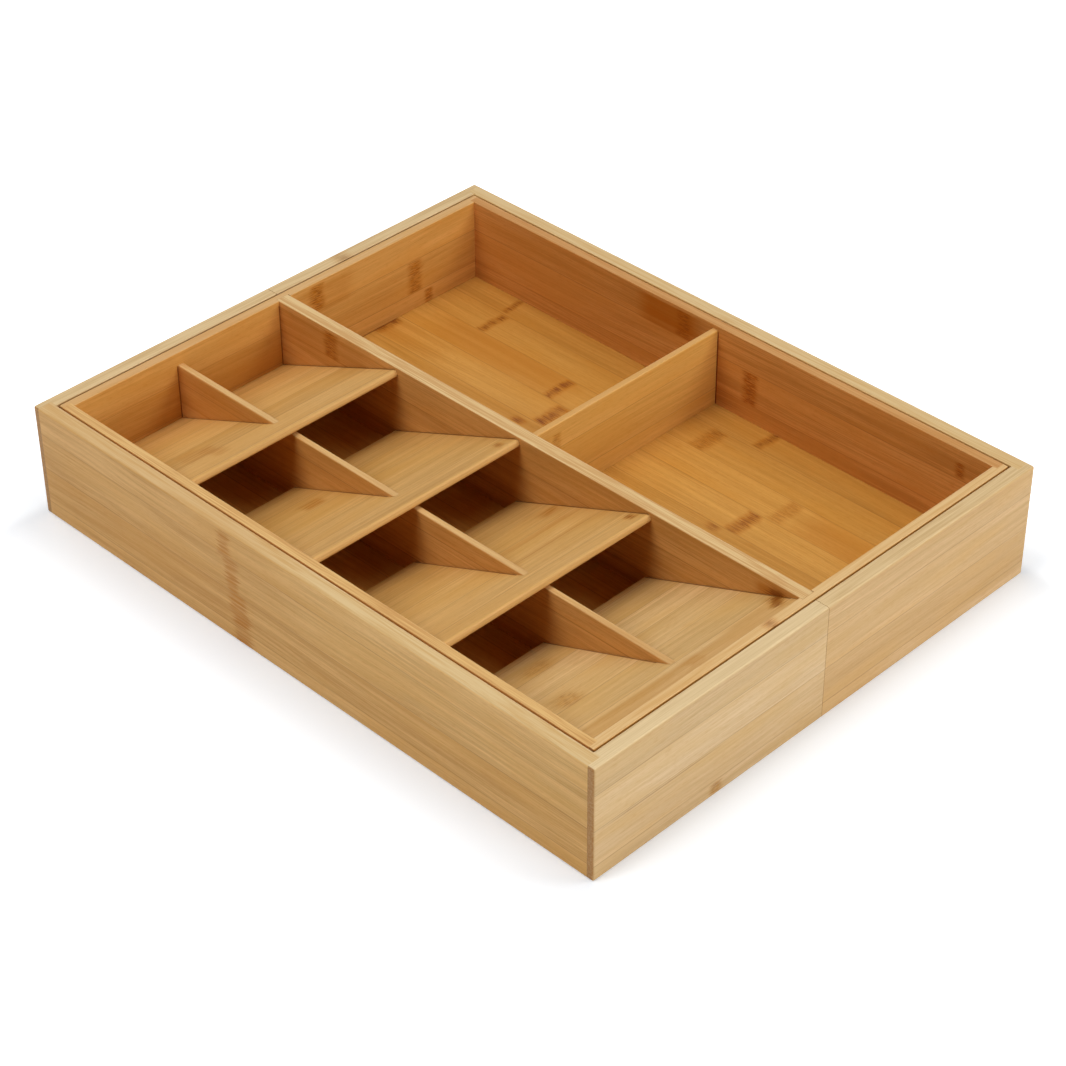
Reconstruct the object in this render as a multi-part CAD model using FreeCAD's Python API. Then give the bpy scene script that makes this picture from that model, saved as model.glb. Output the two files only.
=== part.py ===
"""Expanding cutlery tray in bamboo board: a centre tray and two sleeves that slide out of it sideways.

Millimetres, +Z up. X runs across the tray, the way the sleeves slide. Y runs along it, with the front at -Y.
The origin is at the bottom centre of the closed tray.
"""
import FreeCAD, Part
import math
import os
from dataclasses import dataclass

# The closed tray, over all
tray_length = 400.0
tray_width = 316.8
tray_height = 67.5

# The sleeves: boards, rabbeted corners, base panel, and the seam where the two meet
sleeve_wall = 8.4
sleeve_lip = 4.0
sleeve_base = 5.0
sleeve_base_lift = 3.0
sleeve_groove = 3.0
seam_gap = 0.12

# The centre tray: boards, rabbeted corners and base panel, and the gaps that it slides with
centre_wall = 5.6
centre_lip = 2.8
centre_base = 5.0
centre_base_lift = 4.4
centre_groove = 2.6
slide_gap = 1.0
lift_gap = 0.3

# Dividers of the centre tray, with how far the thin ones stay below the walls
long_divider_board = 8.0
cross_divider_board = 3.8
cross_divider_drop = 2.5
cutlery_divider_board = 3.8
cutlery_divider_drop = 7.6

# Sloping shelves of the cutlery section: the front one meets the front wall and is a little longer
shelf_board = 4.0
shelf_overlap = 2.0
shelf_foot = 8.7
shelf_crest_drop = 1.2
shelf_nose_round = 1.5
front_shelf_extra = 5.2
lap_share = 0.5

# Guide rails in the centre tray's end walls, and the grooves in the sleeves that they run in
rail_length = 36.0
rail_height = 6.0
rail_middle = 38.0
rail_seat = 2.0
rail_bite = 3.4
rail_clearance = 0.3
rail_corner_margin = 9.0
rail_round = 0.8
stop_margin = 8.5
stop_clearance = 0.5

# Glued joints and edges
housing_depth = 2.0
housing_fit = 0.2
panel_fit = 0.1
outer_round = 1.2
free_end_round = 0.15
board_round = 0.5
thin_round = 0.8
overrun = 5.0
same_place = 1e-4


@dataclass(frozen=True)
class Frame:
    """A rectangular frame of boards with rabbeted corners and a groove that holds its base panel.

    The end walls are rabbeted: their lips cover the side walls' ends and show on the long outer faces.
    """

    outer_x: float
    outer_y: float
    wall: float
    lip: float
    bottom: float
    panel_bottom: float
    panel_top: float
    groove: float
    corner_round: float

    @property
    def inner_x(self):
        """Inner face of the side walls."""
        return self.outer_x - self.wall

    @property
    def inner_y(self):
        """Inner face of the end walls."""
        return self.outer_y - self.wall

    @property
    def shoulder_y(self):
        """Where the side walls end, behind the lips of the end walls."""
        return self.outer_y - self.lip

    @property
    def panel_x(self):
        """How far the base panel reaches into the grooves of the side walls."""
        return self.inner_x + self.groove - panel_fit

    @property
    def panel_y(self):
        """How far the base panel reaches into the grooves of the end walls."""
        return self.inner_y + self.groove - panel_fit


sleeves = Frame(
    outer_x=tray_width / 2,
    outer_y=tray_length / 2,
    wall=sleeve_wall,
    lip=sleeve_lip,
    bottom=0.0,
    panel_bottom=sleeve_base_lift,
    panel_top=sleeve_base_lift + sleeve_base,
    groove=sleeve_groove,
    corner_round=outer_round,
)
centre_bottom = sleeves.panel_top + lift_gap
centre = Frame(
    outer_x=sleeves.inner_x - slide_gap,
    outer_y=sleeves.inner_y - slide_gap,
    wall=centre_wall,
    lip=centre_lip,
    bottom=centre_bottom,
    panel_bottom=centre_bottom + centre_base_lift,
    panel_top=centre_bottom + centre_base_lift + centre_base,
    groove=centre_groove,
    corner_round=board_round,
)

# Places that follow from the sizes above
floor = centre.panel_top
long_face = long_divider_board / 2
cross_top = tray_height - cross_divider_drop
cutlery_divider_top = tray_height - cutlery_divider_drop
cutlery_middle = -(centre.inner_x + long_face) / 2
shelf_low = floor + shelf_foot
shelf_high = tray_height - shelf_crest_drop
shelf_left = -centre.inner_x - housing_depth + housing_fit
shelf_right = -long_face + housing_depth - housing_fit
seam_face = seam_gap / 2
rail_far = centre.outer_x - rail_corner_margin
rail_near = rail_far - rail_length
rail_reach = centre.outer_y + slide_gap + rail_bite
guide_far = rail_far + stop_clearance
sleeve_travel = rail_near - stop_clearance - stop_margin


def block(x, y, z):
    """A box between two places on each axis, given in either order."""
    low = FreeCAD.Vector(min(x), min(y), min(z))
    high = FreeCAD.Vector(max(x), max(y), max(z))
    size = high - low
    return Part.makeBox(size.x, size.y, size.z, low)


def edges_on(shape, **places):
    """The edges of a shape whose ends all lie at the given x, y or z."""
    def lies_there(edge):
        ends = [vertex.Point for vertex in edge.Vertexes]
        return all(abs(getattr(end, axis) - at) < same_place for end in ends for axis, at in places.items())
    return [edge for edge in shape.Edges if lies_there(edge)]


def rounded(shape, radius, *lines):
    """The shape with its edges on these lines rounded."""
    edges = [edge for line in lines for edge in edges_on(shape, **line)]
    return shape.makeFillet(radius, edges)


@dataclass(frozen=True)
class Shelf:
    """One sloping shelf: a board across the cutlery section that rises from its rear edge to its front edge.

    Places on it are given by the distance along the slope and the height over its top face.
    """

    name: str
    rear_y: float
    front_y: float
    meets_wall: bool

    @property
    def angle(self):
        """Slope of the shelf in radians."""
        return math.atan2(shelf_high - shelf_low, self.rear_y - self.front_y)

    @property
    def length(self):
        """Length of the top face along the slope."""
        return (self.rear_y - self.front_y) / math.cos(self.angle)

    @property
    def lap(self):
        """How far up the slope the shelf is slotted; above that the cutlery divider is."""
        return lap_share * (cutlery_divider_top - shelf_low) / math.sin(self.angle)

    def point(self, x, along, over):
        """The point at that distance along the slope and that height over the top face."""
        y = self.rear_y - along * math.cos(self.angle) + over * math.sin(self.angle)
        z = shelf_low + along * math.sin(self.angle) + over * math.cos(self.angle)
        return FreeCAD.Vector(x, y, z)

    def plumb(self, y, over):
        """How far along the slope a line at that height over the top face reaches y."""
        return (self.rear_y - y + over * math.sin(self.angle)) / math.cos(self.angle)

    def slab(self, x, corners):
        """A slab across X. Each corner is a distance along the slope and a height over the top face."""
        points = [self.point(x[0], along, over) for along, over in corners]
        outline = Part.makePolygon(points + points[:1])
        return Part.Face(outline).extrude(FreeCAD.Vector(x[1] - x[0], 0, 0))

    def board(self, x, grow=0.0):
        """The shelf between two places on X, or with grow the housing that takes it."""
        top = grow
        under = -shelf_board - grow
        rear = -grow
        if self.meets_wall:
            wall = self.front_y - grow
            front = [(self.plumb(wall, under), under), (self.plumb(wall, top), top)]
            return self.slab(x, [(rear, top), (rear, under), *front])
        tip = self.length + grow
        front = [(tip, under), (tip, top)]
        nose = [self.point(x[0], along, over) for along, over in front]
        raw = self.slab(x, [(rear, top), (rear, under), *front])
        return rounded(raw, shelf_nose_round + grow, *(dict(y=corner.y, z=corner.z) for corner in nose))

    def shelf_slot(self):
        """What is cut from the shelf for the cutlery divider, from the rear edge to the lap."""
        half = cutlery_divider_board / 2 + panel_fit
        over = (overrun, -shelf_board - overrun)
        along = (-overrun, self.lap + panel_fit)
        corners = [(along[0], over[0]), (along[0], over[1]), (along[1], over[1]), (along[1], over[0])]
        return self.slab((cutlery_middle - half, cutlery_middle + half), corners)

    def divider_slot(self):
        """What is cut from the cutlery divider for the shelf, from the lap upwards."""
        half = cutlery_divider_board / 2 + overrun
        over = (panel_fit, -shelf_board - panel_fit)
        along = (self.lap, self.length + overrun)
        corners = [(along[0], over[0]), (along[0], over[1]), (along[1], over[1]), (along[1], over[0])]
        return self.slab((cutlery_middle - half, cutlery_middle + half), corners)


def shelf_row():
    """The shelves from rear to front: three alike and a longer one that meets the front wall."""
    names = ("rear_shelf", "second_shelf", "third_shelf", "front_shelf")
    overlaps = (len(names) - 1) * shelf_overlap
    span = (2 * centre.inner_y + overlaps - front_shelf_extra) / len(names)
    rear_y = centre.inner_y
    shelves = []
    for name in names[:-1]:
        front_y = rear_y - span
        shelves.append(Shelf(name, rear_y, front_y, meets_wall=False))
        rear_y = front_y + shelf_overlap
    shelves.append(Shelf(names[-1], rear_y, -centre.inner_y, meets_wall=True))
    return shelves


def side_wall(frame, side):
    """A side wall: its ends stand in the end walls' rabbets, and its inner face is grooved for the base."""
    inner = side * frame.inner_x
    outer = side * frame.outer_x
    height = (frame.bottom, tray_height)
    outer_edges = (dict(x=outer, z=tray_height), dict(x=outer, z=frame.bottom))
    wall = block((inner, outer), (-frame.inner_y, frame.inner_y), height)
    wall = rounded(wall, frame.corner_round, *outer_edges)
    wall = rounded(wall, board_round, dict(x=inner, z=tray_height))
    for end in (-1, 1):
        tongue = block((inner, outer), (end * frame.inner_y, end * frame.shoulder_y), height)
        wall = wall.fuse(rounded(tongue, frame.corner_round, *outer_edges))
    groove = block(
        (inner - side * overrun, inner + side * frame.groove),
        (-frame.outer_y, frame.outer_y),
        (frame.panel_bottom, frame.panel_top + panel_fit),
    )
    return wall.removeSplitter().cut(groove)


def end_wall(frame, end, start, corners, start_round=0.0):
    """A front or rear wall from start to its last corner, rabbeted at its corners and grooved for the base.

    Where start is a free end and no corner, start_round eases all its edges.
    """
    inner = end * frame.inner_y
    outer = end * frame.outer_y
    wall = block((start, corners[-1] * frame.outer_x), (inner, outer), (frame.bottom, tray_height))
    outer_edges = [dict(y=outer, z=tray_height), dict(y=outer, z=frame.bottom)]
    for corner in corners:
        face = corner * frame.outer_x
        outer_edges += [dict(x=face, y=outer), dict(x=face, z=tray_height), dict(x=face, z=frame.bottom)]
    wall = rounded(wall, frame.corner_round, *outer_edges)
    wall = rounded(wall, board_round, dict(y=inner, z=tray_height))
    if start_round:
        wall = rounded(wall, start_round, dict(x=start))
    for corner in corners:
        rabbet = block(
            (corner * frame.inner_x, corner * (frame.outer_x + overrun)),
            (inner - end * overrun, end * frame.shoulder_y),
            (frame.bottom - overrun, tray_height + overrun),
        )
        wall = wall.cut(rabbet)
    groove = block(
        (-frame.outer_x, frame.outer_x),
        (inner - end * overrun, inner + end * frame.groove),
        (frame.panel_bottom, frame.panel_top + panel_fit),
    )
    return wall.cut(groove)


def rail_span(clearance):
    """Bottom and top of a guide rail, or of a groove with that clearance round it."""
    half = rail_height / 2 + clearance
    return rail_middle - half, rail_middle + half


def guide_rail(side, end):
    """A guide rail: let into the centre tray's end wall, it reaches across the gap into the sleeve."""
    near = side * rail_near
    far = side * rail_far
    tip = end * rail_reach
    rail = block((near, far), (end * (centre.outer_y - rail_seat), tip), rail_span(0))
    return rounded(rail, rail_round, dict(x=near, y=tip), dict(x=far, y=tip))


def sleeve_end_wall(side, end):
    """A sleeve's front or rear wall, with the closed groove in which its guide rail runs and stops."""
    groove = block(
        (side * stop_margin, side * guide_far),
        (end * (sleeves.inner_y - overrun), end * (rail_reach + rail_clearance)),
        rail_span(rail_clearance),
    )
    return end_wall(sleeves, end, side * seam_face, (side,), free_end_round).cut(groove)


def sleeve_base_panel(side):
    """A sleeve's base panel, from the seam to the side wall's groove."""
    free_edge = side * seam_face
    panel = block(
        (free_edge, side * sleeves.panel_x),
        (-sleeves.panel_y, sleeves.panel_y),
        (sleeves.panel_bottom, sleeves.panel_top),
    )
    return rounded(panel, board_round, dict(x=free_edge, z=sleeves.panel_top))


def centre_end_wall(end):
    """The centre tray's front or rear wall, with the long divider's housing and two guide rails' seats."""
    wall = end_wall(centre, end, -centre.outer_x, (-1, 1))
    half = long_face + panel_fit
    housing = block(
        (-half, half),
        (end * (centre.inner_y - overrun), end * (centre.inner_y + housing_depth)),
        (floor, tray_height + overrun),
    )
    wall = wall.cut(housing)
    for side in (-1, 1):
        seat = block(
            (side * rail_near, side * rail_far),
            (end * (centre.outer_y - rail_seat), end * (centre.outer_y + overrun)),
            rail_span(0),
        )
        wall = wall.cut(seat)
    return wall


def cross_housing(face, into):
    """The housing of the cross divider in a face across X, cut in the given direction."""
    half = cross_divider_board / 2 + panel_fit
    across = (face - into * overrun, face + into * housing_depth)
    return block(across, (-half, half), (floor, cross_top + panel_fit))


def centre_left_wall(shelves):
    """The centre tray's left wall, with a sloping housing for each shelf."""
    wall = side_wall(centre, -1)
    face = -centre.inner_x
    for shelf in shelves:
        wall = wall.cut(shelf.board((face - housing_depth, face + overrun), grow=housing_fit))
    return wall


def centre_right_wall():
    """The centre tray's right wall, with the housing of the cross divider."""
    return side_wall(centre, 1).cut(cross_housing(centre.inner_x, 1))


def centre_base_panel():
    """The centre tray's base panel, in the grooves of all four walls."""
    return block(
        (-centre.panel_x, centre.panel_x),
        (-centre.panel_y, centre.panel_y),
        (centre.panel_bottom, centre.panel_top),
    )


def long_divider(shelves):
    """The long divider: housed in the end walls, and itself housing the shelves and the cross divider."""
    reach = centre.inner_y + housing_depth - panel_fit
    board = block((-long_face, long_face), (-reach, reach), (floor, tray_height))
    board = rounded(board, board_round, dict(x=-long_face, z=tray_height), dict(x=long_face, z=tray_height))
    for shelf in shelves:
        board = board.cut(shelf.board((-long_face - overrun, -long_face + housing_depth), grow=housing_fit))
    return board.cut(cross_housing(long_face, -1))


def cross_divider():
    """The thin divider across the utensil section, between the long divider and the right wall."""
    half = cross_divider_board / 2
    near = long_face - housing_depth + panel_fit
    far = centre.inner_x + housing_depth - panel_fit
    board = block((near, far), (-half, half), (floor, cross_top))
    return rounded(board, thin_round, dict(y=-half, z=cross_top), dict(y=half, z=cross_top))


def cutlery_divider(shelves):
    """The low board along the middle of the cutlery section, halved with each shelf."""
    half = cutlery_divider_board / 2
    faces = (cutlery_middle - half, cutlery_middle + half)
    board = block(faces, (-centre.inner_y, centre.inner_y), (floor, cutlery_divider_top))
    board = rounded(board, thin_round, *(dict(x=face, z=cutlery_divider_top) for face in faces))
    for shelf in shelves:
        board = board.cut(shelf.divider_slot())
    return board


def all_pieces():
    """Every piece of the tray by name."""
    sides = {"left": -1, "right": 1}
    ends = {"front": -1, "rear": 1}
    shelves = shelf_row()
    pieces = {
        "centre_base": centre_base_panel(),
        "centre_left_wall": centre_left_wall(shelves),
        "centre_right_wall": centre_right_wall(),
        "long_divider": long_divider(shelves),
        "cross_divider": cross_divider(),
        "cutlery_divider": cutlery_divider(shelves),
    }
    for shelf in shelves:
        pieces[shelf.name] = shelf.board((shelf_left, shelf_right)).cut(shelf.shelf_slot())
    for end_name, end in ends.items():
        pieces[f"centre_{end_name}_wall"] = centre_end_wall(end)
    for side_name, side in sides.items():
        pieces[f"{side_name}_sleeve_side_wall"] = side_wall(sleeves, side)
        pieces[f"{side_name}_sleeve_base"] = sleeve_base_panel(side)
        for end_name, end in ends.items():
            pieces[f"{side_name}_sleeve_{end_name}_wall"] = sleeve_end_wall(side, end)
            pieces[f"{side_name}_{end_name}_guide_rail"] = guide_rail(side, end)
    return pieces


os.makedirs("parts", exist_ok=True)
for name, piece in all_pieces().items():
    solids = piece.Solids
    if len(solids) != 1 or not solids[0].isValid():
        raise ValueError(f"{name}: {len(solids)} solids, or a faulty one")
    solids[0].exportStep(f"parts/{name}.step")
    print(f"{name}: {solids[0].Volume:.0f} mm3")
print(f"sleeve travel {sleeve_travel:.2f} mm")
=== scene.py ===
"""Looks of the expanding cutlery tray: laminated bamboo boards on a pale studio floor.

The solids are in metres, in the frame that they were packed in: X across the tray, Y along it with the
front at -Y, Z up. Places and lengths on the boards are in millimetres.
"""
import logging
import math
from dataclasses import dataclass, replace
from enum import Enum

import bmesh
import bpy
from mathutils import Euler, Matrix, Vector

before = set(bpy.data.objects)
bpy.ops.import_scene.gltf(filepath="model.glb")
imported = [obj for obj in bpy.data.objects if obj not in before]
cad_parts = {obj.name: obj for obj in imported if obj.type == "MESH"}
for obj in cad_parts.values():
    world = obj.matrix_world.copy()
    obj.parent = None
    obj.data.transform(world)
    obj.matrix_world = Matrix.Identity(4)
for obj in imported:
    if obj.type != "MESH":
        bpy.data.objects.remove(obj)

LOG = logging.getLogger("cutlery_tray")
MILLIMETRES = 1000.0
HALF = 0.5

# Strips: their width, the step between two boards' chances, and where a glue line is gone and full
STRIP_WIDTH = 21.25
SEED_STEP = 7.31
GLUE_LINE = (0.40, 0.05)

# How far apart two canes' fibres are read, and how far fibres wander from a straight line
CANE_SHIFT = (400.0, 300.0, 200.0)
WANDER_REACH = (0.0, 8.0, 5.0)

# Turn of a surface at which it starts to be an edge, an end or a joint's face, and at which it is one
EDGE_TURN = (0.45, 0.90)
END_TURN = (0.45, 0.85)
JOINT_TURN = (0.3, 0.7)

# How far the dark joint line at the foot of a board, partly painted shade in the gap, reaches to each
# side
JOINT_SHADE_REACH = 0.45

# Shader nodes: how much weaker each octave of noise is, and the Mix node's colour sockets
NOISE_ROUGHNESS = 0.55
MIX_SHARE = 0
MIX_COLOURS = (6, 7)
MIX_RESULT = 2

Colour = tuple[float, float, float]
Pair = tuple[float, float]
Socket = bpy.types.NodeSocket


def srgb(red: int, green: int, blue: int) -> Colour:
    """Linear colour of an sRGB colour.

    Args:
        red: Red, 0 to 255.
        green: Green, 0 to 255.
        blue: Blue, 0 to 255.

    Returns:
        The three linear channels, 0 to 1.
    """
    def linear(value: int) -> float:
        """Linear value of one channel."""
        share = value / 255
        return share / 12.92 if share <= 0.04045 else ((share + 0.055) / 1.055) ** 2.4

    return linear(red), linear(green), linear(blue)


class Lay(Enum):
    """How a board's bamboo lies: the axes along its fibres, across its strips and through it."""

    LENGTHWISE_UPRIGHT = ("Y", "Z", "X")
    CROSSWISE_UPRIGHT = ("X", "Z", "Y")
    LENGTHWISE_FLAT = ("Y", "X", "Z")
    CROSSWISE_FLAT = ("X", "Y", "Z")


class JointFace(Enum):
    """Which broad face of a board other boards meet: the one turned to + or - through it, or both."""

    PLUS = 1.0
    MINUS = -1.0
    BOTH = 0.0


class Side(Enum):
    """The two sleeves, with the direction in which each slides out along X."""

    LEFT = -1
    RIGHT = 1


@dataclass(frozen=True)
class Grain:
    """A pattern that follows the fibres: its waves per millimetre along and across them, and its octaves.

    Low and high are where a step that is cut from the pattern starts and ends.
    """

    along: float
    across: float
    octaves: float = 2.0
    low: float = 0.0
    high: float = 1.0


WANDER = Grain(0.006, 0.02, 1.0)
BROAD_STREAK = Grain(0.005, 0.14)
MEDIUM_STREAK = Grain(0.010, 0.50, 3.0)
FINE_STREAK = Grain(0.025, 1.60)
RESIN = Grain(0.012, 0.05, low=0.42, high=0.66)
VEIN = Grain(0.007, 0.80, 1.0, low=0.60, high=0.76)
PORES = Grain(0.22, 1.60, low=0.50, high=0.72)
CUT_FIBRES = Grain(0.05, 0.9, low=0.35, high=0.70)
MOTTLE = Grain(0.25, 1.40, low=0.40, high=0.64)
TEETH = Grain(0.03, 0.80, low=0.38, high=0.62)
DASHES = Grain(0.05, 1.70, low=0.40, high=0.60)
WEAR = Grain(0.05, 0.30, 1.0, low=0.30, high=0.62)
SPECKS = Grain(0.22, 2.20, low=0.44, high=0.64)
RAGGED = Grain(0.02, 1.70, 1.0)
BEND = Grain(0.01, 0.12, 1.0)


class Graph:
    """Adds shader nodes to a node tree and wires them."""

    def __init__(self, owner: bpy.types.Material | bpy.types.World) -> None:
        """Empties the node tree of a material or a world, and keeps it."""
        owner.use_nodes = True
        self.tree = owner.node_tree
        self.tree.nodes.clear()

    def node(self, kind: str, **settings: object) -> bpy.types.Node:
        """A new node with its settings.

        Args:
            kind: The node's type, such as ShaderNodeMath.
            **settings: Attributes of the node and their values.

        Returns:
            The node.
        """
        made = self.tree.nodes.new(kind)
        for name, value in settings.items():
            setattr(made, name, value)
        return made

    def feed(self, socket: Socket, value: object) -> None:
        """Links a socket to another one, or sets its value.

        Args:
            socket: The input socket.
            value: An output socket, a number, or a tuple of numbers.
        """
        if isinstance(value, bpy.types.NodeSocket):
            self.tree.links.new(value, socket)
        else:
            socket.default_value = value

    def math(self, operation: str, *values: object, clamp: bool = False) -> Socket:
        """The result of a Math node.

        Args:
            operation: The node's operation.
            *values: Its inputs, sockets or numbers.
            clamp: Whether the result is kept between 0 and 1.

        Returns:
            The output socket.
        """
        made = self.node("ShaderNodeMath", operation=operation, use_clamp=clamp)
        for socket, value in zip(made.inputs, values):
            self.feed(socket, value)
        return made.outputs[0]

    def split(self, vector: Socket) -> tuple[Socket, Socket, Socket]:
        """The three parts of a vector.

        Args:
            vector: The vector.

        Returns:
            Its three sockets.
        """
        made = self.node("ShaderNodeSeparateXYZ")
        self.feed(made.inputs[0], vector)
        return made.outputs[0], made.outputs[1], made.outputs[2]

    def combined(self, operation: str, *values: object) -> Socket:
        """The result of a Vector Math node.

        Args:
            operation: The node's operation.
            *values: Its inputs, sockets or tuples.

        Returns:
            The output socket.
        """
        made = self.node("ShaderNodeVectorMath", operation=operation)
        for socket, value in zip(made.inputs, values):
            self.feed(socket, value)
        return made.outputs[0]

    def noise(self, vector: Socket, grain: Grain) -> Socket:
        """A pattern as it is.

        Args:
            vector: Where it is read, in millimetres along the fibres, across them and through the board.
            grain: The pattern.

        Returns:
            The noise, 0 to 1.
        """
        made = self.node("ShaderNodeTexNoise", noise_dimensions="3D")
        scale = (grain.along, grain.across, grain.across)
        self.feed(made.inputs["Vector"], self.combined("MULTIPLY", vector, scale))
        self.feed(made.inputs["Scale"], 1.0)
        self.feed(made.inputs["Detail"], grain.octaves)
        self.feed(made.inputs["Roughness"], NOISE_ROUGHNESS)
        return made.outputs[0]

    def swing(self, vector: Socket, grain: Grain) -> Socket:
        """A pattern about its mean.

        Args:
            vector: Where it is read, as for noise.
            grain: The pattern.

        Returns:
            The noise, -0.5 to 0.5.
        """
        return self.math("SUBTRACT", self.noise(vector, grain), HALF)

    def stepped(self, vector: Socket, grain: Grain) -> Socket:
        """A pattern cut into patches with soft edges.

        Args:
            vector: Where it is read, as for noise.
            grain: The pattern.

        Returns:
            The patches, 0 to 1.
        """
        return self.ramp(self.noise(vector, grain), grain.low, grain.high)

    def ramp(self, value: object, low: float, high: float) -> Socket:
        """A smooth step from 0 at low to 1 at high.

        Args:
            value: The socket or number that is stepped.
            low: Where the step starts.
            high: Where the step ends.

        Returns:
            The output socket.
        """
        made = self.node("ShaderNodeMapRange", interpolation_type="SMOOTHSTEP")
        self.feed(made.inputs["Value"], value)
        self.feed(made.inputs["From Min"], low)
        self.feed(made.inputs["From Max"], high)
        return made.outputs["Result"]

    def mix(self, share: object, first: object, second: object) -> Socket:
        """Two colours mixed.

        Args:
            share: Share of the second colour.
            first: A colour or a socket.
            second: A colour or a socket.

        Returns:
            The colour socket.
        """
        made = self.node("ShaderNodeMix", data_type="RGBA", blend_type="MIX")
        self.feed(made.inputs[MIX_SHARE], share)
        for index, value in zip(MIX_COLOURS, (first, second)):
            self.feed(made.inputs[index], (*value, 1.0) if isinstance(value, tuple) else value)
        return made.outputs[MIX_RESULT]


class MarkKind(Enum):
    """What a mark on a board looks like."""

    STAIN = "soft darker patch"
    COMB = "reddish dashes along the fibres"
    RING = "mottled band where the cane had a joint"
    SCAR = "dark dashes where the cane had a joint"
    KNOT = "solid dark spot"
    # A dark joint, and where another board meets this one, partly painted shade in the gap between them
    SEAM = "thin dark line where another board meets this one"


STAIN, COMB, RING, SCAR, KNOT, SEAM = MarkKind


@dataclass(frozen=True)
class Mark:
    """A mark on a board, in millimetres: its middle along and across the fibres, and how far it reaches.

    The depth is its share of the colour, and the blur is the width of its soft edge across the fibres.
    """

    along: float
    across: float
    depth: float = 0.8
    reach: float = 3.0
    half_width: float = STRIP_WIDTH / 2
    kind: MarkKind = SCAR
    blur: float = 1.0


def joint_shade_line(along: float, across: float, half_width: float, depth: float = 0.8) -> Mark:
    """The dark line where a board's face stands on another board, across that one's fibres: a dark joint,
    partly painted shade in the gap.

    Args:
        along: Where the line lies along the fibres, in millimetres.
        across: Where its middle lies across them, in millimetres.
        half_width: Half its length, in millimetres.
        depth: Its share of the colour.

    Returns:
        The mark.
    """
    return Mark(along, across, depth, JOINT_SHADE_REACH, half_width, SEAM)


@dataclass(frozen=True)
class Layer:
    """One coat of a kind of mark: where it is read along the fibres, its texture, its tint and its fade.

    The fade and the fringe are shares of the mark's reach: where the coat is gone, where it is full, and
    how much sooner each fibre ends.
    """

    along: Socket
    texture: Socket | float
    tint: Colour
    fade: Pair = (1.25, 0.55)
    fringe: Socket | float = 0.0


@dataclass(frozen=True)
class MarkFinish:
    """How the marks of the cane are drawn.

    Bends and tears shift a mark along the fibres, in millimetres. A texture is the strength of a coat's
    pattern, and how much of the coat is there without it. Fades and fringes are those of the coats.
    """

    bend: float = 3.5
    tear: float = 13.0
    tear_bend: float = 9.0
    stain_base: float = 0.4
    comb_texture: Pair = (0.75, 0.25)
    hatching: float = 0.15
    ring_texture: Pair = (0.5, 0.4)
    ring_fade: Pair = (1.5, 0.4)
    ring_fringe: float = 1.3
    specks: float = 0.7
    speck_fade: Pair = (1.4, 0.2)
    haze_texture: Pair = (0.35, 0.35)
    haze_fade: Pair = (2.8, 1.2)
    scar_texture: Pair = (0.85, 0.2)
    scar_fade: Pair = (1.8, 0.3)
    scar_fringe: float = 3.0
    knot_rim: float = 0.5
    knot_rim_fade: Pair = (1.7, 0.7)
    knot_texture: Pair = (0.3, 0.7)
    knot_fade: Pair = (1.14, 0.45)


@dataclass(frozen=True)
class BambooFinish:
    """Lacquered bamboo: the mean colours of its broad faces, its sawn edges and its end grain.

    Contrasts and swings are how far tones, hues and gloss vary. Shares are how much of another colour
    shows. The relief's height is in metres.
    """

    face: Colour
    edge: Colour
    end: Colour
    strip_contrast: float = 0.6
    streak_contrast: float = 1.0
    streak_weights: tuple[float, float, float] = (1.1, 1.2, 1.3)
    hue_swing: float = 0.5
    resin_share: float = 0.55
    vein_share: float = 0.16
    pore_share: float = 0.22
    glue_share: float = 0.7
    edge_contrast: float = 3.0
    edge_tone: float = 0.4
    edge_share: float = 0.6
    # Paler arrises: partly rubbed wear, partly a painted highlight
    arris_wear_and_highlight_share: float = 0.2
    cut_fibre_share: float = 0.5
    roughness: float = 0.48
    roughness_swing: float = 0.14
    gloss: float = 0.28
    relief: float = 0.25
    relief_height: float = 0.0001
    mark_finish: MarkFinish = MarkFinish()

    def shade(self, red: float, green: float, blue: float) -> Colour:
        """The face's colour with each channel scaled.

        Args:
            red: Factor of the red channel.
            green: Factor of the green channel.
            blue: Factor of the blue channel.

        Returns:
            The linear colour.
        """
        return self.face[0] * red, self.face[1] * green, self.face[2] * blue

    @property
    def pale(self) -> Colour:
        """The palest streaks."""
        return self.shade(1.16, 1.20, 1.30)

    @property
    def deep(self) -> Colour:
        """The deepest streaks."""
        return self.shade(0.83, 0.77, 0.64)

    @property
    def golden(self) -> Colour:
        """Soft patches with more resin."""
        return self.shade(1.0, 0.92, 0.70)

    @property
    def scar(self) -> Colour:
        """Cane joints and the darkest fibres."""
        return self.shade(0.32, 0.14, 0.01)

    @property
    def comb(self) -> Colour:
        """Reddish fibres beside a cane joint."""
        return self.shade(0.70, 0.42, 0.02)


@dataclass(frozen=True)
class Fibres:
    """A board's bamboo at a point.

    The place is in millimetres, along the fibres, across the strips and through the board. The fibre
    place is where patterns of the fibres are read. The rest are patterns of the strips and of the streaks
    in them, 0 to 1.
    """

    along: Socket
    across: Socket
    place: Socket
    fibre_place: Socket
    cane_tone: Socket
    cane_hue: Socket
    glue_line: Socket
    broad: Socket
    medium: Socket
    fine: Socket
    resin: Socket


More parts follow.
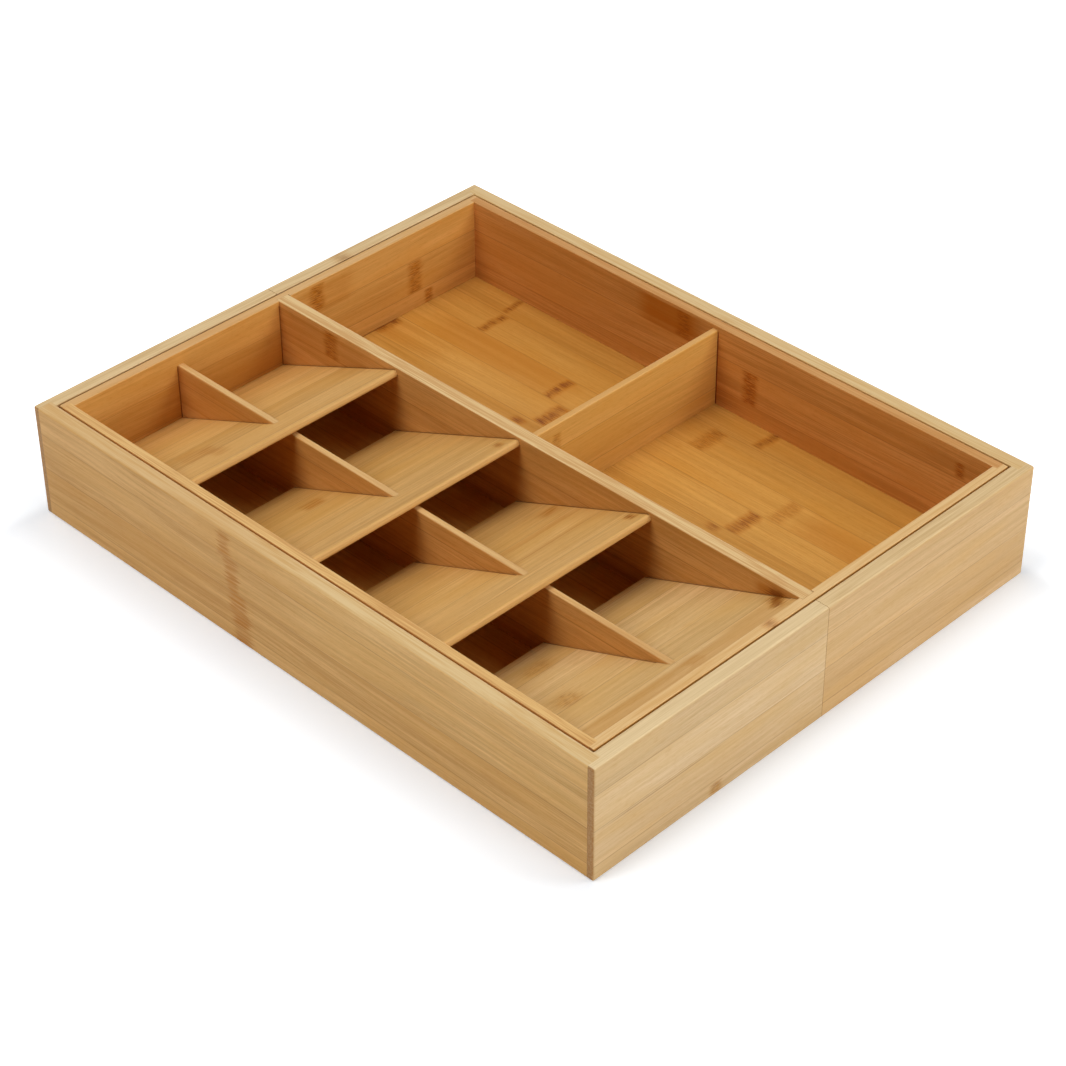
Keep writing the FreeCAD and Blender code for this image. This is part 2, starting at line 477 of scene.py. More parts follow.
@dataclass(frozen=True)
class Board:
    """One board of the tray: the solid that it dresses, how its bamboo lies, and what marks it."""

    node: str
    lay: Lay
    finish: BambooFinish
    seed: int
    strip_start: float = 0.0
    tilt: float = 0.0
    marks: tuple[Mark, ...] = ()
    joint_face: JointFace = JointFace.BOTH

    def in_order(self, graph: Graph, source: Socket, scale: float) -> Socket:
        """A vector in the board's own order of axes: along its fibres, across its strips, through it.

        Args:
            graph: The material's nodes.
            source: The vector in X, Y, Z.
            scale: Factor of its length.

        Returns:
            The vector socket.
        """
        turned = graph.node("ShaderNodeMapping")
        turned.inputs["Rotation"].default_value = (self.tilt, 0.0, 0.0)
        turned.inputs["Scale"].default_value = (scale, scale, scale)
        graph.feed(turned.inputs["Vector"], source)
        split = graph.split(turned.outputs["Vector"])
        joined = graph.node("ShaderNodeCombineXYZ")
        for socket, axis in zip(joined.inputs, self.lay.value):
            graph.feed(socket, split["XYZ".index(axis)])
        return joined.outputs[0]

    def fibres(self, graph: Graph, source: Socket) -> Fibres:
        """The board's strips and the fibres in them.

        Args:
            graph: The material's nodes.
            source: The place in X, Y, Z, in metres.

        Returns:
            Their sockets.
        """
        place = self.in_order(graph, source, MILLIMETRES)
        along, across, _ = graph.split(place)

        # Strips glued side by side, each from another cane
        strips = graph.math("DIVIDE", graph.math("SUBTRACT", across, self.strip_start), STRIP_WIDTH)
        chance = graph.node("ShaderNodeTexWhiteNoise", noise_dimensions="1D")
        number = graph.math("ADD", graph.math("FLOOR", strips), self.seed * SEED_STEP)
        graph.feed(chance.inputs["W"], number)
        cane = chance.outputs["Color"]
        cane_tone, cane_hue, _ = graph.split(cane)
        from_joint = graph.math("MULTIPLY", graph.math("PINGPONG", strips, HALF), STRIP_WIDTH)

        # Fibres start anew in each strip, and wander a little along it
        straight = graph.combined("MULTIPLY_ADD", cane, CANE_SHIFT, place)
        wandering = graph.combined("MULTIPLY_ADD", graph.swing(straight, WANDER), WANDER_REACH, straight)
        return Fibres(
            along=along, across=across, place=place, fibre_place=wandering,
            cane_tone=cane_tone, cane_hue=cane_hue, glue_line=graph.ramp(from_joint, *GLUE_LINE),
            broad=graph.noise(wandering, BROAD_STREAK), medium=graph.noise(wandering, MEDIUM_STREAK),
            fine=graph.noise(wandering, FINE_STREAK), resin=graph.noise(wandering, RESIN),
        )

    def face_colour(self, graph: Graph, fibres: Fibres) -> Socket:
        """The broad faces: streaks from pale to deep, golden patches, veins, pores and glue lines.

        Args:
            graph: The material's nodes.
            fibres: The board's fibres.

        Returns:
            The colour socket.
        """
        finish = self.finish
        tone = graph.math("SUBTRACT", fibres.cane_tone, HALF)
        tone = graph.math("MULTIPLY_ADD", tone, finish.strip_contrast, HALF)
        for streak, weight in zip((fibres.broad, fibres.medium, fibres.fine), finish.streak_weights):
            swing = graph.math("SUBTRACT", streak, HALF)
            tone = graph.math("MULTIPLY_ADD", swing, weight * finish.streak_contrast, tone)
        tone = graph.math("MAXIMUM", tone, 0.0, clamp=True)
        colour = graph.mix(tone, finish.pale, finish.deep)
        rich = graph.ramp(fibres.resin, RESIN.low, RESIN.high)
        hue = graph.math("SUBTRACT", fibres.cane_hue, HALF)
        rich = graph.math("MULTIPLY_ADD", hue, finish.hue_swing, rich)
        rich = graph.math("MULTIPLY", rich, finish.resin_share, clamp=True)
        colour = graph.mix(rich, colour, finish.golden)
        for grain, share in ((VEIN, finish.vein_share), (PORES, finish.pore_share)):
            shown = graph.math("MULTIPLY", graph.stepped(fibres.fibre_place, grain), share)
            colour = graph.mix(shown, colour, finish.comb)
        glue = graph.math("MULTIPLY", fibres.resin, finish.glue_share)
        return graph.mix(graph.math("MULTIPLY", fibres.glue_line, glue), colour, finish.scar)

    def edge_colour(self, graph: Graph, fibres: Fibres) -> Socket:
        """The sawn edges, which show the strips from the side.

        Args:
            graph: The material's nodes.
            fibres: The board's fibres.

        Returns:
            The colour socket.
        """
        finish = self.finish
        streak = graph.math("SUBTRACT", graph.math("ADD", fibres.medium, fibres.fine), 1.0)
        tone = graph.math("MULTIPLY_ADD", streak, finish.edge_contrast, finish.edge_tone, clamp=True)
        return graph.mix(tone, finish.edge, graph.mix(finish.edge_share, finish.edge, finish.deep))

    def end_colour(self, graph: Graph, fibres: Fibres) -> Socket:
        """The ends, which show the cut fibres.

        Args:
            graph: The material's nodes.
            fibres: The board's fibres.

        Returns:
            The colour socket.
        """
        cut = graph.math("MULTIPLY", graph.stepped(fibres.place, CUT_FIBRES), self.finish.cut_fibre_share)
        return graph.mix(cut, self.finish.end, self.finish.deep)

    def coats(self, graph: Graph, fibres: Fibres, face_turn: Socket) -> dict[MarkKind, tuple[Layer, ...]]:
        """The coats that each kind of mark is made of.

        Args:
            graph: The material's nodes.
            fibres: The board's fibres.
            face_turn: How far the surface is turned to + through the board, -1 to 1.

        Returns:
            The coats of each kind, the lowest first.
        """
        look = self.finish.mark_finish
        dark, red = self.finish.scar, self.finish.comb
        mottle, teeth, dashes, worn, specks = (
            graph.stepped(fibres.fibre_place, grain) for grain in (MOTTLE, TEETH, DASHES, WEAR, SPECKS)
        )
        ragged, bent = (graph.swing(fibres.fibre_place, grain) for grain in (RAGGED, BEND))
        bent_along = graph.math("MULTIPLY_ADD", bent, look.bend, fibres.along)
        torn_along = graph.math("MULTIPLY_ADD", bent, look.tear_bend, fibres.along)
        torn_along = graph.math("MULTIPLY_ADD", ragged, look.tear, torn_along)
        ring_fringe = graph.math("MULTIPLY", ragged, look.ring_fringe)
        scar_fringe = graph.math("MULTIPLY", ragged, look.scar_fringe)
        stained = graph.math("ADD", fibres.broad, look.stain_base)
        toothed = graph.math("MULTIPLY_ADD", teeth, *look.comb_texture)
        hatched = graph.math("MULTIPLY", dashes, look.hatching)
        mottled = graph.math("MULTIPLY_ADD", mottle, *look.ring_texture)
        speckled = graph.math("MULTIPLY", specks, look.specks)
        hazy = graph.math("MULTIPLY_ADD", mottle, *look.haze_texture)
        scarred = graph.math("MULTIPLY_ADD", graph.math("MULTIPLY", dashes, worn), *look.scar_texture)
        knotty = graph.math("MULTIPLY_ADD", mottle, *look.knot_texture)
        met: Socket | float = 1.0
        if self.joint_face is not JointFace.BOTH:
            met = graph.ramp(graph.math("MULTIPLY", face_turn, self.joint_face.value), *JOINT_TURN)
        return {
            STAIN: (Layer(fibres.along, stained, red),),
            COMB: (Layer(torn_along, toothed, red), Layer(torn_along, hatched, dark)),
            RING: (
                Layer(bent_along, mottled, red, look.ring_fade, ring_fringe),
                Layer(bent_along, speckled, dark, look.speck_fade, ring_fringe),
            ),
            SCAR: (
                Layer(bent_along, hazy, red, look.haze_fade),
                Layer(bent_along, scarred, dark, look.scar_fade, scar_fringe),
            ),
            KNOT: (
                Layer(torn_along, look.knot_rim, red, look.knot_rim_fade),
                Layer(torn_along, knotty, dark, look.knot_fade),
            ),
            # Dark joint lines, partly painted shade in the gaps between boards
            SEAM: (Layer(fibres.along, met, dark),),
        }

    def mark_mask(self, graph: Graph, kind: MarkKind, layer: Layer, across: Socket) -> Socket | float:
        """How strong one coat of the marks of a kind is at a point.

        Args:
            graph: The material's nodes.
            kind: The kind of mark.
            layer: The coat.
            across: Place across the strips, in millimetres.

        Returns:
            The mask, 0 to 1.
        """
        total: Socket | float = 0.0
        for mark in self.marks:
            if mark.kind is not kind:
                continue
            off = graph.math("ABSOLUTE", graph.math("SUBTRACT", layer.along, mark.along))
            off = graph.math("ADD", graph.math("DIVIDE", off, mark.reach), layer.fringe)
            aside = graph.math("ABSOLUTE", graph.math("SUBTRACT", across, mark.across))
            if kind is KNOT:
                far_across = graph.math("POWER", graph.math("DIVIDE", aside, mark.half_width), 2.0)
                far = graph.math("SQRT", graph.math("MULTIPLY_ADD", off, off, far_across))
                shape = graph.ramp(far, *layer.fade)
            else:
                strip = graph.ramp(aside, mark.half_width, mark.half_width - mark.blur)
                shape = graph.math("MULTIPLY", graph.ramp(off, *layer.fade), strip)
            patch = graph.math("MULTIPLY", shape, mark.depth)
            total = graph.math("MAXIMUM", total, patch)
        return total

    def material(self) -> bpy.types.Material:
        """The board's own lacquered bamboo.

        Returns:
            The material.
        """
        finish = self.finish
        made = bpy.data.materials.new(f"{self.node}_bamboo")
        graph = Graph(made)
        source = graph.node("ShaderNodeTexCoord")
        fibres = self.fibres(graph, source.outputs["Object"])
        end_turn, edge_turn, face_turn = graph.split(self.in_order(graph, source.outputs["Normal"], 1.0))

        # Faces and sawn edges, with the arrises between them paler: partly rubbed wear, partly a painted
        # highlight
        edge_turn = graph.math("ABSOLUTE", edge_turn)
        on_edge = graph.ramp(edge_turn, *EDGE_TURN)
        colour = graph.mix(on_edge, self.face_colour(graph, fibres), self.edge_colour(graph, fibres))
        arris_wear_and_highlight = graph.math("MULTIPLY", graph.math("PINGPONG", edge_turn, HALF), finish.arris_wear_and_highlight_share)
        colour = graph.mix(arris_wear_and_highlight, colour, finish.edge)

        # Marks of the cane and of the joints, and then the ends
        coats = self.coats(graph, fibres, face_turn)
        for kind in {mark.kind: None for mark in self.marks}:
            for layer in coats[kind]:
                mask = self.mark_mask(graph, kind, layer, fibres.across)
                colour = graph.mix(graph.math("MULTIPLY", mask, layer.texture), colour, layer.tint)
        on_end = graph.ramp(graph.math("ABSOLUTE", end_turn), *END_TURN)
        colour = graph.mix(on_end, colour, self.end_colour(graph, fibres))

        # Satin lacquer over slightly raised fibres
        shader = graph.node("ShaderNodeBsdfPrincipled")
        graph.feed(shader.inputs["Base Color"], colour)
        shader.inputs["Specular IOR Level"].default_value = finish.gloss
        smoothest = finish.roughness - finish.roughness_swing / 2
        rough = graph.math("MULTIPLY_ADD", fibres.medium, finish.roughness_swing, smoothest)
        graph.feed(shader.inputs["Roughness"], rough)
        relief = graph.node("ShaderNodeBump")
        relief.inputs["Strength"].default_value = finish.relief
        relief.inputs["Distance"].default_value = finish.relief_height
        graph.feed(relief.inputs["Height"], graph.math("ADD", fibres.fine, fibres.medium))
        graph.feed(shader.inputs["Normal"], relief.outputs["Normal"])
        out = graph.node("ShaderNodeOutputMaterial")
        graph.feed(out.inputs["Surface"], shader.outputs[0])
        return made

    def dress(self) -> None:
        """Gives the board's solid its own bamboo."""
        made = self.material()
        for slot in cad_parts[self.node].material_slots:
            slot.material = made
        LOG.info("dressed %s", self.node)


SIDE_BAMBOO = BambooFinish(
    face=srgb(223, 178, 109), edge=srgb(226, 195, 142), end=srgb(168, 121, 60), streak_contrast=1.5,
)
END_BAMBOO = BambooFinish(
    face=srgb(214, 178, 126), edge=srgb(226, 196, 146), end=srgb(172, 120, 61),
    strip_contrast=0.45, streak_contrast=0.85,
)
PALE_END_BAMBOO = replace(
    END_BAMBOO, face=srgb(214, 183, 136), edge=srgb(236, 209, 161), edge_contrast=1.5,
)
WALL_BAMBOO = BambooFinish(
    face=srgb(204, 140, 71), edge=srgb(230, 187, 120), end=srgb(160, 106, 54),
    strip_contrast=0.5, streak_contrast=1.9,
)
DARK_WALL_BAMBOO = replace(WALL_BAMBOO, edge=srgb(211, 158, 97))
CROSS_BAMBOO = BambooFinish(
    face=srgb(224, 168, 89), edge=srgb(220, 177, 121), end=srgb(164, 112, 58),
    strip_contrast=0.3, streak_contrast=0.9, edge_contrast=2.0,
)
PALE_CROSS_BAMBOO = replace(CROSS_BAMBOO, edge=srgb(231, 193, 136))
THIN_CROSS_BAMBOO = replace(CROSS_BAMBOO, face=srgb(226, 174, 91), edge=srgb(219, 166, 99))
DIVIDER_BAMBOO = BambooFinish(
    face=srgb(210, 151, 82), edge=srgb(230, 195, 138), end=srgb(164, 112, 58),
    strip_contrast=0.5, streak_contrast=1.6, edge_contrast=5.0,
)
WEDGE_BAMBOO = replace(DIVIDER_BAMBOO, edge=srgb(225, 182, 120), edge_contrast=2.0)
SHELF_BAMBOO = BambooFinish(
    face=srgb(213, 166, 97), edge=srgb(217, 167, 98), end=srgb(176, 124, 66),
    strip_contrast=0.5, streak_contrast=1.05,
)
FRONT_SHELF_BAMBOO = replace(SHELF_BAMBOO, face=srgb(220, 181, 121), edge=srgb(214, 168, 100))
BASE_BAMBOO = BambooFinish(
    face=srgb(210, 153, 71), edge=srgb(206, 152, 80), end=srgb(160, 106, 52),
    strip_contrast=0.4, streak_contrast=0.9,
)

LEFT_SIDE_MARKS = (
    Mark(115, 40, 0.25, 125, 30, STAIN), Mark(120, 14.6, 0.34, 110, 15.5, STAIN, 0.4),
    Mark(0, 14.6, 0.2, 320, 15.5, STAIN, 0.4),
    Mark(50, 58, 0.85, 4.5, 8.5, COMB, 2), Mark(44, 40.5, 0.8, 4.5, 11, COMB, 2),
    Mark(41, 15, 0.95, 6.5, 16, COMB, 2),
)
LEFT_FRONT_MARKS = (
    Mark(-80, 14.6, 0.1, 160, 15.5, STAIN, 0.4),
    Mark(-76, 4.5, 0.9, 4, 4, RING, 2), Mark(-112, 29, 0.4, 38, 0.5, SEAM, 0.3),
)
RIGHT_FRONT_MARKS = (Mark(80, 14.6, 0.1, 160, 15.5, STAIN, 0.4),)
RIGHT_REAR_MARKS = (Mark(50, 67, 0.4, 3, 3),)


@dataclass
class Sleeve:
    """One sliding sleeve: a side wall, half a front wall, half a rear wall and a base."""

    side: Side
    seed: int
    wall_strip: float = 9.0
    base_strip: float = 10.0
    front_finish: BambooFinish = END_BAMBOO
    side_marks: tuple[Mark, ...] = ()
    front_marks: tuple[Mark, ...] = ()
    rear_marks: tuple[Mark, ...] = ()

    def boards(self) -> list[Board]:
        """The sleeve's boards.

        Returns:
            One board for each of its solids.
        """
        name = self.side.name.lower() + "_sleeve"
        along, over = Lay.LENGTHWISE_UPRIGHT, Lay.CROSSWISE_UPRIGHT
        seed = self.seed
        wall = self.wall_strip
        return [
            Board(f"{name}_side_wall", along, SIDE_BAMBOO, seed, wall, marks=self.side_marks),
            Board(f"{name}_front_wall", over, self.front_finish, seed + 1, wall, marks=self.front_marks),
            Board(f"{name}_rear_wall", over, END_BAMBOO, seed + 2, wall, marks=self.rear_marks),
            Board(f"{name}_base", Lay.LENGTHWISE_FLAT, BASE_BAMBOO, seed + 3, self.base_strip),
        ]

    def dress(self) -> None:
        """Gives each board of the sleeve its bamboo."""
        for board in self.boards():
            board.dress()


@dataclass
class CentreTray:
    """The tray between the sleeves: walls, base, dividers, sloping shelves and guide rails.

    The faces are where boards stand on others, in millimetres along X, and the lengths are those of the
    lines along them.
    """

    wall_seed: int
    divider_seed: int
    shelf_seed: int
    rail_seed: int
    wall_strip: float = 7.0
    base_strip: float = 62.5
    shelf_tilt: float = math.radians(23.3)
    front_shelf_tilt: float = math.radians(22.2)
    wedge_faces: Pair = (-76.0, -71.4)
    divider_face: float = -4.3
    wall_face: float = -143.0
    wedge_length: float = 80.0
    shelf_length: float = 101.0
    rails: tuple[str, ...] = ("left_front", "left_rear", "right_front", "right_rear")

    def walls(self) -> list[Board]:
        """The base and the four walls.

        Returns:
            One board for each of their solids.
        """
        seed = self.wall_seed
        strip = self.wall_strip
        flat, along, over = Lay.LENGTHWISE_FLAT, Lay.LENGTHWISE_UPRIGHT, Lay.CROSSWISE_UPRIGHT
        plus, minus = JointFace.PLUS, JointFace.MINUS
        base_marks = (
            Mark(95, 75, 0.12, 80, 80, STAIN, 6), Mark(115, 94.4, 0.45, 60, kind=STAIN, blur=0.4),
            Mark(-135, 94.4, 0.35, 30, kind=STAIN, blur=0.4), Mark(170, 73, 0.3, 40, kind=STAIN, blur=4),
            Mark(142.5, 115.5, 0.9, 1.7), Mark(146, 135.5, 0.75, 1.3, 8), Mark(68.7, 94.4, 0.95, 1.9),
            Mark(53.7, 73, 1.0, 2.4), Mark(63.7, 57.5, 0.9, 2.4, 3), Mark(184, 72, 0.8, 2.2, 9.5),
            Mark(-46, 136, 0.8, 1.7, 8.5), Mark(-85, 73, 1.0, 2.4), Mark(-76, 59, 0.6, 2.4, 3),
            Mark(-22.5, 115.5, 0.7, 5, kind=RING), Mark(-95, 94.4, 0.5, 4.5, kind=RING),
            # Dark joint line at the foot of the rear wall, partly painted shade in the gap
            Mark(184.6, 42, 0.7, 0.5, 38, SEAM),
        )
        right_marks = (
            Mark(98, 41, 0.16, 88, 27, STAIN), Mark(0, 18, 0.22, 300, 15, STAIN, 3),
            Mark(33, 57, 0.85, 24, 9, STAIN), Mark(-26, 38.5, 1.0, 4.8, kind=RING),
            Mark(22.5, 57.5, 1.0, 5, 8.6, RING), Mark(-166, 55, 0.9, 3, 5, RING),
            # Dark joint line where the cross divider meets the wall, partly painted shade in the gap
            joint_shade_line(-2.4, 41, 23.5, 0.9),
        )
        rear_marks = (
            Mark(-74, 45, 0.18, 62, 27, STAIN), Mark(30, 56, 0.36, 20, 10, STAIN, 3),
            Mark(23, 57.5, 1.0, 4.5, 8.6, RING), Mark(95.7, 38.8, 0.85, 4.9, kind=RING),
            Mark(106, 22, 0.9, 3, 5, RING),
            # Dark joint lines where the long divider and the cutlery divider meet the wall, partly
            # painted shade in the gaps
            joint_shade_line(self.divider_face, 45, 20), joint_shade_line(self.wedge_faces[0], 43, 17),
        )
        front_marks = (Mark(-28, 67, 0.5, 2.2, 3),)
        return [
            Board("centre_base", flat, BASE_BAMBOO, seed, self.base_strip, 0.0, base_marks, plus),
            Board("centre_left_wall", along, WALL_BAMBOO, seed + 1, strip),
            Board("centre_right_wall", along, DARK_WALL_BAMBOO, seed + 2, strip, 0.0, right_marks, minus),
            Board("centre_front_wall", over, PALE_CROSS_BAMBOO, seed + 3, strip, marks=front_marks),
            Board("centre_rear_wall", over, CROSS_BAMBOO, seed + 4, strip, 0.0, rear_marks, minus),
        ]

    def dividers(self) -> list[Board]:
        """The three dividers.

        Returns:
            One board for each of their solids.
        """
        seed = self.divider_seed
        strip = self.wall_strip
        along, over = Lay.LENGTHWISE_UPRIGHT, Lay.CROSSWISE_UPRIGHT
        long_marks = (
            Mark(150, 41, 0.42, 45, 25, STAIN, 3), Mark(143.7, 57.5, 1.0, 5, 8.5, RING),
            Mark(-168, 56, 0.6, 10, 9.5, STAIN, 4), Mark(-171, 60, 0.95, 6, 5.5, KNOT),
        )
        cross_marks = (Mark(20, 53.5, 0.6, 3, 6, RING),)
        wedge_marks = (Mark(150, 34, 0.3, 60, 25, STAIN, 3),)
        return [
            Board("long_divider", along, DIVIDER_BAMBOO, seed, strip, marks=long_marks),
            Board("cross_divider", over, THIN_CROSS_BAMBOO, seed + 1, strip, marks=cross_marks),
            Board("cutlery_divider", along, WEDGE_BAMBOO, seed + 2, strip, marks=wedge_marks),
        ]

    def shelf_joint_shade_lines(self, low: float) -> tuple[Mark, ...]:
        """Dark joint lines, partly painted shade in the gaps, where the dividers and the side wall stand
        on a shelf.

        Args:
            low: Where the shelf's low end lies across it.

        Returns:
            A line for each face that meets the shelf.
        """
        whole, part = self.shelf_length / 2, self.wedge_length / 2
        long_lines = [joint_shade_line(face, low - whole, whole) for face in (self.divider_face, self.wall_face)]
        wedge_lines = [joint_shade_line(face, low - part, part) for face in self.wedge_faces]
        return *long_lines, *wedge_lines

    def shelves(self) -> list[Board]:
        """The four sloping shelves.

        Returns:
            One board for each of their solids.
        """
        lay = Lay.CROSSWISE_FLAT
        tilt = self.shelf_tilt
        rear_marks = (Mark(-110, 84, 0.6, 5, 14, COMB, 6), Mark(-118, 92, 0.35, 7, 14, COMB, 8))
        second_marks = (Mark(-92, 41, 0.7, 7, 8, COMB, 4), Mark(-12, -18, 0.8, 1.3, 4))
        third_marks = (
            Mark(-12, -42, 0.3, 8, 7, STAIN, 5), Mark(-10, -41, 0.8, 5, 5, COMB, 3),
            Mark(-35, -57, 0.4, 30, 4, STAIN, 3), Mark(-40, -74, 0.35, 30, 2.5, STAIN, 2),
            Mark(-9, -99, 0.9, 1.6, 4),
        )
        front_marks = (
            Mark(-118, -152, 0.6, 7, 10, RING, 6), Mark(-98, -110, 0.5, 9, 9, RING, 6),
            # The long soft patch along the shelf's front end, by the front wall, is painted shade
            Mark(-70, -188, 0.35, 6, 8, COMB, 5), Mark(-72, -190.5, 0.45, 90, 8.5, STAIN, 3),
            Mark(-20, -189, 0.45, 24, 10, STAIN, 4), Mark(-7, -183, 1.0, 3.2, 4.4, KNOT),
            Mark(-10, -186.5, 1.0, 4.2, 5.2, KNOT),
        )
        shelves = (
            ("rear_shelf", SHELF_BAMBOO, 62.0, tilt, rear_marks, 159.5),
            ("second_shelf", SHELF_BAMBOO, -10.0, tilt, second_marks, 76.2),
            ("third_shelf", SHELF_BAMBOO, -96.0, tilt, third_marks, -7.1),
            ("front_shelf", FRONT_SHELF_BAMBOO, -180.0, self.front_shelf_tilt, front_marks, -90.6),
        )
        return [
            Board(name, lay, finish, seed, strip, slope, marks + self.shelf_joint_shade_lines(low), JointFace.PLUS)
            for seed, (name, finish, strip, slope, marks, low) in enumerate(shelves, self.shelf_seed)
        ]

    def guide_rails(self) -> list[Board]:
        """The guide rails on the front and rear walls, which run in the sleeves' grooves.

        Returns:
            One board for each of their solids.
        """
        return [
            Board(f"{name}_guide_rail", Lay.CROSSWISE_UPRIGHT, DIVIDER_BAMBOO, seed)
            for seed, name in enumerate(self.rails, self.rail_seed)
        ]

    def dress(self) -> None:
        """Gives each board of the centre tray its bamboo."""
        for board in (*self.walls(), *self.dividers(), *self.shelves(), *self.guide_rails()):
            board.dress()


@dataclass(frozen=True)
class Lamp:
    """A soft round lamp that looks at the tray.

    The compass angle goes from the front towards +X, and the height is an angle too, both in degrees. The
    power is in watts, and the size and the distance are in metres.
    """

    name: str
    compass: float
    height: float
    power: float
    size: float = 1.2
    distance: float = 2.4

    def hang(self) -> None:
        """Hangs the lamp in the scene."""
        data = bpy.data.lights.new(self.name, "AREA")
        data.shape = "DISK"
        data.size = self.size
        data.energy = self.power
        turn, rise = math.radians(self.compass), math.radians(self.height)
        level = math.cos(rise)
        place = Vector((math.sin(turn) * level, -math.cos(turn) * level, math.sin(rise)))
        lamp = bpy.data.objects.new(self.name, data)
        lamp.location = place * self.distance
        lamp.rotation_euler = (-place).to_track_quat("-Z", "Y").to_euler()
        bpy.context.scene.collection.objects.link(lamp)


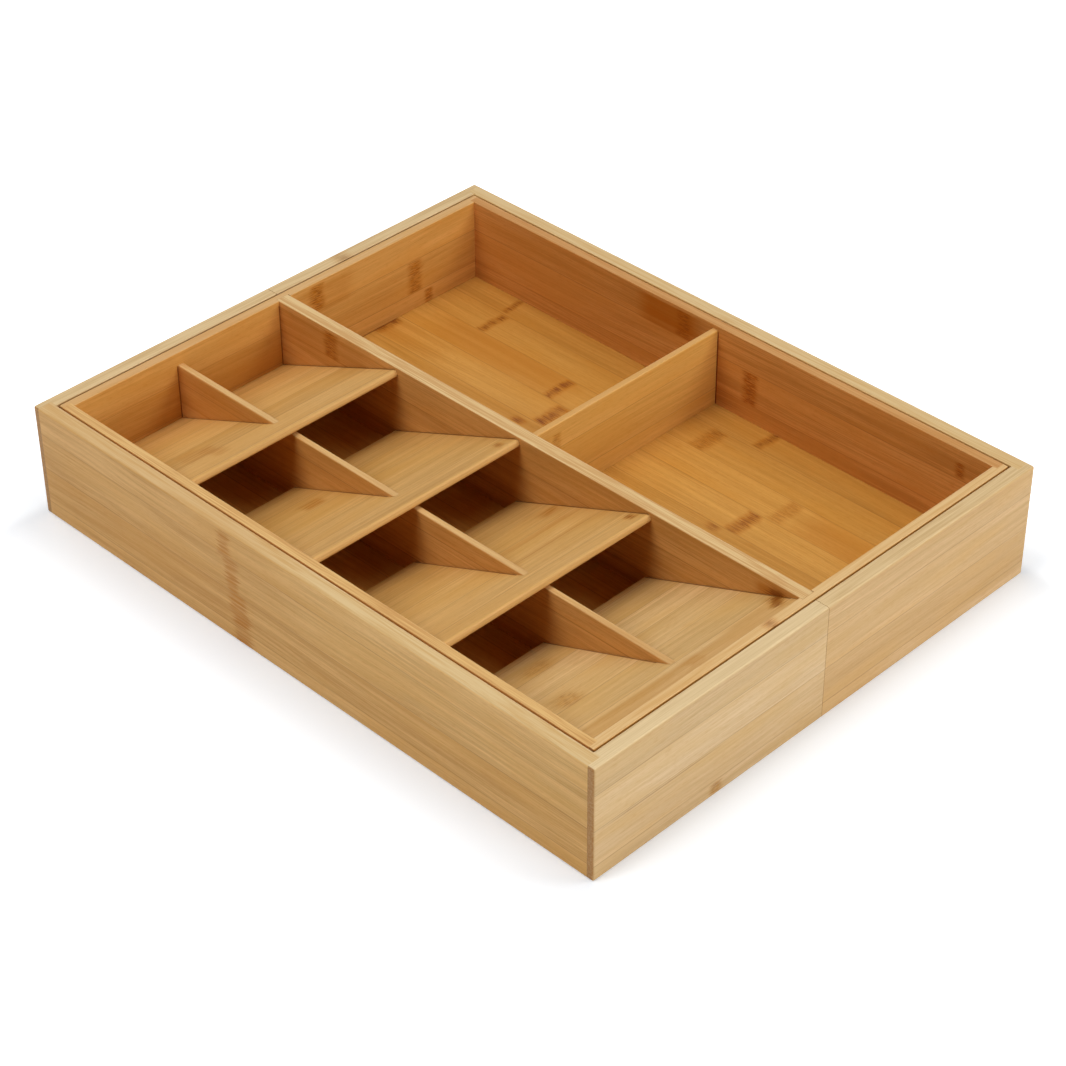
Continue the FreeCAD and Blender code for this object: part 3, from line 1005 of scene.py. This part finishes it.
@dataclass
class Studio:
    """The white floor, the soft lamps and the camera.

    A lift is how much brighter the floor looks than its light makes it, and a band is where a lift starts
    and where it is full, in metres from the tray's foot.
    """

    floor_size: float = 6.0
    floor_white: float = 0.88
    floor_seen: Colour = (0.80, 0.84, 0.89)
    floor_lift: float = 0.27
    near_lift: float = 0.25
    near_band: Pair = (0.012, 0.048)
    far_lift: float = 0.50
    far_band: Pair = (0.2, 1.2)
    # Painted light that fades the tray's cast shadow past the front, right and rear sides
    front_lift: float = 0.08
    right_lift: float = 0.16
    rear_lift: float = 0.16
    side_band: Pair = (0.0, 0.01)
    tray_foot: tuple[float, float, float] = (0.158, 0.2, 0.0)
    sky: float = 0.01
    lamps: tuple[Lamp, ...] = (
        Lamp("overhead_lamp", 0, 88, 13.2),
        Lamp("front_panel", 0, 12, 21.2, size=0.9),
        Lamp("front_right_lamp", 45, 45, 14.3),
        Lamp("rear_lamp", 180, 47, 6.0),
        Lamp("left_lamp", 257, 42, 15.2),
        Lamp("left_high_lamp", 257, 65, 10.2),
    )
    camera_place: tuple[float, float, float] = (-0.82342, -0.82975, 0.88777)
    camera_turn: tuple[float, float, float] = (52.95559, 0.32158, -45.18406)
    lens: float = 95.219
    sensor: float = 36.0

    def seen(self, graph: Graph) -> Socket:
        """1 for rays that see the background straight or in a reflection, and 0 for those that light.

        Args:
            graph: The material's nodes.

        Returns:
            The socket.
        """
        ray = graph.node("ShaderNodeLightPath").outputs
        mirrored = graph.math("MAXIMUM", ray["Is Glossy Ray"], ray["Is Transmission Ray"])
        first = graph.math("LESS_THAN", ray["Diffuse Depth"], HALF)
        return graph.math("MAXIMUM", ray["Is Camera Ray"], graph.math("MULTIPLY", mirrored, first))

    def lift(self, graph: Graph) -> Socket:
        """How much the floor is lifted at a point.

        Args:
            graph: The floor material's nodes.

        Returns:
            The socket.
        """
        place = graph.node("ShaderNodeTexCoord").outputs["Object"]
        past_right, past_rear, _ = graph.split(graph.combined("SUBTRACT", place, self.tray_foot))
        _, before_front, _ = graph.split(graph.combined("ADD", place, self.tray_foot))
        past_front = graph.math("MULTIPLY", before_front, -1.0)
        outside = graph.combined("SUBTRACT", graph.combined("ABSOLUTE", place), self.tray_foot)
        out_of_tray = graph.math("MAXIMUM", *graph.split(outside)[:2])
        total: Socket | float = self.floor_lift
        # Painted light: the glow is least at the tray's foot and grows outwards, a painted shade about
        # the foot, and the side lifts fade the cast shadow
        for where, more, band in (
            (out_of_tray, self.near_lift, self.near_band), (out_of_tray, self.far_lift, self.far_band),
            (past_front, self.front_lift, self.side_band), (past_right, self.right_lift, self.side_band),
            (past_rear, self.rear_lift, self.side_band),
        ):
            total = graph.math("MULTIPLY_ADD", graph.ramp(where, *band), more, total)
        return total

    def build_floor(self) -> None:
        """Lays the floor: white to the eye, with the tray's shadow kept, but faded by painted light past
        the front, right and rear sides.
        """
        mesh = bmesh.new()
        bmesh.ops.create_grid(mesh, x_segments=1, y_segments=1, size=self.floor_size / 2)
        data = bpy.data.meshes.new("floor")
        mesh.to_mesh(data)
        mesh.free()
        floor = bpy.data.objects.new("floor", data)
        bpy.context.scene.collection.objects.link(floor)
        made = bpy.data.materials.new("floor_white")
        graph = Graph(made)
        seen = self.seen(graph)
        matt = graph.node("ShaderNodeBsdfDiffuse")
        graph.feed(matt.inputs["Color"], graph.mix(seen, (self.floor_white,) * 3, self.floor_seen))
        glow = graph.node("ShaderNodeEmission")
        graph.feed(glow.inputs["Strength"], graph.math("MULTIPLY", seen, self.lift(graph)))
        both = graph.node("ShaderNodeAddShader")
        graph.feed(both.inputs[0], matt.outputs[0])
        graph.feed(both.inputs[1], glow.outputs[0])
        out = graph.node("ShaderNodeOutputMaterial")
        graph.feed(out.inputs["Surface"], both.outputs[0])
        data.materials.append(made)

    def build_sky(self) -> None:
        """Sets an even sky: full white to the eye, and faint as light."""
        world = bpy.data.worlds.new("studio")
        graph = Graph(world)
        sky = graph.node("ShaderNodeBackground")
        strength = graph.math("MULTIPLY_ADD", self.seen(graph), 1.0 - self.sky, self.sky)
        graph.feed(sky.inputs["Strength"], strength)
        sky.inputs["Color"].default_value = (1.0, 1.0, 1.0, 1.0)
        out = graph.node("ShaderNodeOutputWorld")
        graph.feed(out.inputs["Surface"], sky.outputs[0])
        bpy.context.scene.world = world

    def build_camera(self) -> None:
        """Puts the camera where the photograph was taken from."""
        data = bpy.data.cameras.new("camera")
        data.sensor_width = self.sensor
        data.lens = self.lens
        camera = bpy.data.objects.new("camera", data)
        camera.location = self.camera_place
        camera.rotation_euler = Euler([math.radians(angle) for angle in self.camera_turn], "XYZ")
        bpy.context.scene.collection.objects.link(camera)
        bpy.context.scene.camera = camera

    def build(self) -> None:
        """Builds the whole studio."""
        bpy.context.scene.view_settings.view_transform = "Standard"
        self.build_floor()
        self.build_sky()
        for lamp in self.lamps:
            lamp.hang()
        self.build_camera()


def main() -> None:
    """Dresses the tray and builds the studio."""
    logging.basicConfig(level=logging.INFO)
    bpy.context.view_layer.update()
    CentreTray(wall_seed=3, divider_seed=8, shelf_seed=13, rail_seed=23).dress()
    Sleeve(
        Side.LEFT, seed=40, front_finish=PALE_END_BAMBOO,
        side_marks=LEFT_SIDE_MARKS, front_marks=LEFT_FRONT_MARKS,
    ).dress()
    Sleeve(Side.RIGHT, seed=50, front_marks=RIGHT_FRONT_MARKS, rear_marks=RIGHT_REAR_MARKS).dress()
    Studio().build()


if __name__ == "__main__":
    main()
